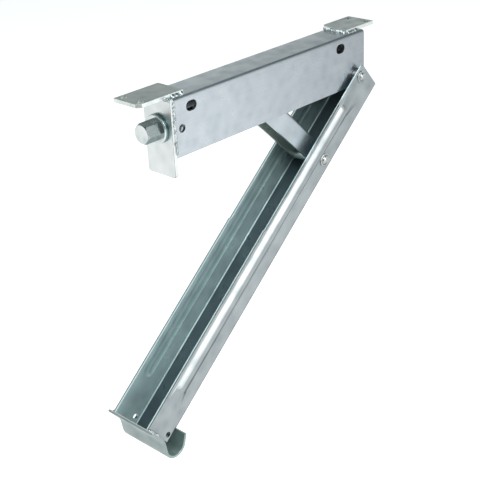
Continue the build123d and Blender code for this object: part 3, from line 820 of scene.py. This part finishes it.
def round_bar(radius, start, end):
    """A closed bar along X on the screw's axis, with a small chamfer at each end."""
    bpy.ops.mesh.primitive_cylinder_add(
        vertices=48, radius=radius, depth=end - start, rotation=(0, pi / 2, 0),
        location=((start + end) / 2, 0, SCREW_AXIS.z),
    )
    bar = bpy.context.object
    bpy.ops.object.transform_apply(location=True, rotation=True, scale=True)
    apply_modifier(
        bar, "BEVEL", width=0.4 * MM, segments=2, limit_method="ANGLE", angle_limit=radians(60),
    )
    return bar


# %% The helix, from one closed section
bpy.ops.object.select_all(action="DESELECT")
bpy.ops.mesh.primitive_plane_add(size=1)
helix = bpy.context.object
bpy.ops.object.mode_set(mode="EDIT")
bpy.ops.transform.resize(value=(0.62 * THREAD_LEAD, THREAD_DEPTH + 0.6 * MM, 1))
bpy.ops.transform.translate(value=(0, core_radius + THREAD_DEPTH / 2 - 0.3 * MM, 0))
bpy.ops.mesh.select_all(action="DESELECT")
bpy.ops.object.mode_set(mode="OBJECT")
crest = max(vertex.co.y for vertex in helix.data.vertices)
for vertex in helix.data.vertices:
    vertex.select = vertex.co.y > crest - MERGE
bpy.ops.object.mode_set(mode="EDIT")
bpy.ops.mesh.select_mode(type="VERT")
bpy.ops.transform.resize(value=(0.62, 1, 1))
bpy.ops.mesh.select_all(action="SELECT")
bpy.ops.mesh.delete(type="ONLY_FACE")
bpy.ops.object.mode_set(mode="OBJECT")
apply_modifier(
    helix, "SCREW", axis="X", angle=2 * pi, screw_offset=THREAD_LEAD, iterations=turns,
    steps=THREAD_TURN_STEPS, render_steps=THREAD_TURN_STEPS, use_merge_vertices=True,
)
bpy.ops.object.mode_set(mode="EDIT")
bpy.ops.mesh.select_all(action="DESELECT")
bpy.ops.mesh.select_non_manifold()
bpy.ops.mesh.fill_holes(sides=4)
bpy.ops.mesh.select_all(action="SELECT")
bpy.ops.mesh.normals_make_consistent(inside=False)
bpy.ops.transform.translate(value=(thread_start, 0, SCREW_AXIS.z))
bpy.ops.object.mode_set(mode="OBJECT")

# %% The bars inside it
collar_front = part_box("thrust_collar")[0].x
bars = [
    round_bar(core_radius, thread_start - 2 * MM, thread_end),
    round_bar(thread_radius, collar_front, thread_start),
    round_bar(end_radius, thread_end - 1 * MM, screw_high.x),
    round_bar(end_radius, screw_low.x, collar_front),
]
only(helix)
for bar in bars:
    bar.select_set(True)
bpy.context.view_layer.objects.active = helix
bpy.ops.object.join()
thread = bpy.context.object
thread.name = "threaded_screw"
bpy.ops.object.shade_smooth_by_angle(angle=radians(35))
dress(thread, SCREW)
stands_for(thread, "lead_screw")
print("the thread has", turns, "turns and", len(thread.data.polygons), "faces")

# %% [markdown]
# ## Rivets
#
# Each rivet ends in a bright dome inside a flat ring, where the set pressed it down.
# A disc is inset and lowered for the groove, and then more insets, each a little
# higher and narrower, make the dome. A squashed ball would be quicker, but its rim
# wouldn't meet the groove. The same function makes the head on each side.

# %% A rivet from a shank and two heads
SKIRT = 0.9 * MM
RIM = 0.35 * MM
RIM_RISE = 0.25 * MM
RING_SHARE = 0.22
GROOVE = 0.55 * MM
GROOVE_WIDTH = 0.25 * MM
DOME_STEPS = 7
DOME_ARC = 84


def edit_faces(piece, wanted):
    """Opens a piece for editing with only the wanted faces selected."""
    bpy.context.tool_settings.mesh_select_mode = (False, False, True)
    for vertex in piece.data.vertices:
        vertex.select = False
    for edge in piece.data.edges:
        edge.select = False
    for face in piece.data.polygons:
        face.select = wanted(face)
    bpy.ops.object.mode_set(mode="EDIT")


def rivet_head(radius, height, side, middle):
    """A head on the outer face of the leg; side is -1 for the near one, 1 for the far one."""
    bpy.ops.mesh.primitive_cylinder_add(
        vertices=64, radius=radius, depth=SKIRT, rotation=(-side * pi / 2, 0, 0),
        location=(middle.x, side * (leg_flat + SKIRT / 2), middle.z),
    )
    head = bpy.context.object
    bpy.ops.object.transform_apply(location=True, rotation=True, scale=True)
    edit_faces(head, lambda face: face.normal.y * side > 0.9)
    ring = RING_SHARE * radius
    bpy.ops.mesh.inset(thickness=RIM, depth=RIM_RISE)
    bpy.ops.mesh.inset(thickness=ring, depth=0)
    bpy.ops.mesh.inset(thickness=GROOVE_WIDTH, depth=-GROOVE)
    dome_radius = radius - RIM - GROOVE_WIDTH - ring
    dome_height = height - SKIRT - RIM_RISE + GROOVE
    last_radius, last_rise = dome_radius, 0.0
    for step in range(1, DOME_STEPS + 1):
        angle = radians(DOME_ARC) * step / DOME_STEPS
        next_radius, rise = dome_radius * cos(angle), dome_height * sin(angle)
        bpy.ops.mesh.inset(thickness=last_radius - next_radius, depth=rise - last_rise)
        last_radius, last_rise = next_radius, rise
    bpy.ops.object.mode_set(mode="OBJECT")
    return head


def rivet_piece(name, node, shank_radius, middle):
    bpy.ops.object.select_all(action="DESELECT")
    low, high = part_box(node)
    radius = (high.x - low.x) / 2
    height = high.y - leg_flat
    heads = [rivet_head(radius, height, side, middle) for side in (-1, 1)]
    bpy.ops.mesh.primitive_cylinder_add(
        vertices=40, radius=shank_radius, depth=2 * leg_flat, rotation=(pi / 2, 0, 0),
        location=(middle.x, 0, middle.z),
    )
    shank = bpy.context.object
    bpy.ops.object.transform_apply(location=True, rotation=True, scale=True)
    for head in heads:
        head.select_set(True)
    bpy.context.view_layer.objects.active = shank
    bpy.ops.object.join()
    piece = bpy.context.object
    piece.name = name
    bpy.ops.object.shade_smooth_by_angle(angle=radians(38))
    dress(piece, RIVET)
    print(name, len(piece.data.polygons), "faces")
    return stands_for(piece, node)


rivet_piece("pivot_rivet_heads", "leg_pivot_rivet", 5.0 * MM, PIVOT)
rivet_piece("link_rivet_heads", "link_rivet", 4.5 * MM, LINK_PIN)
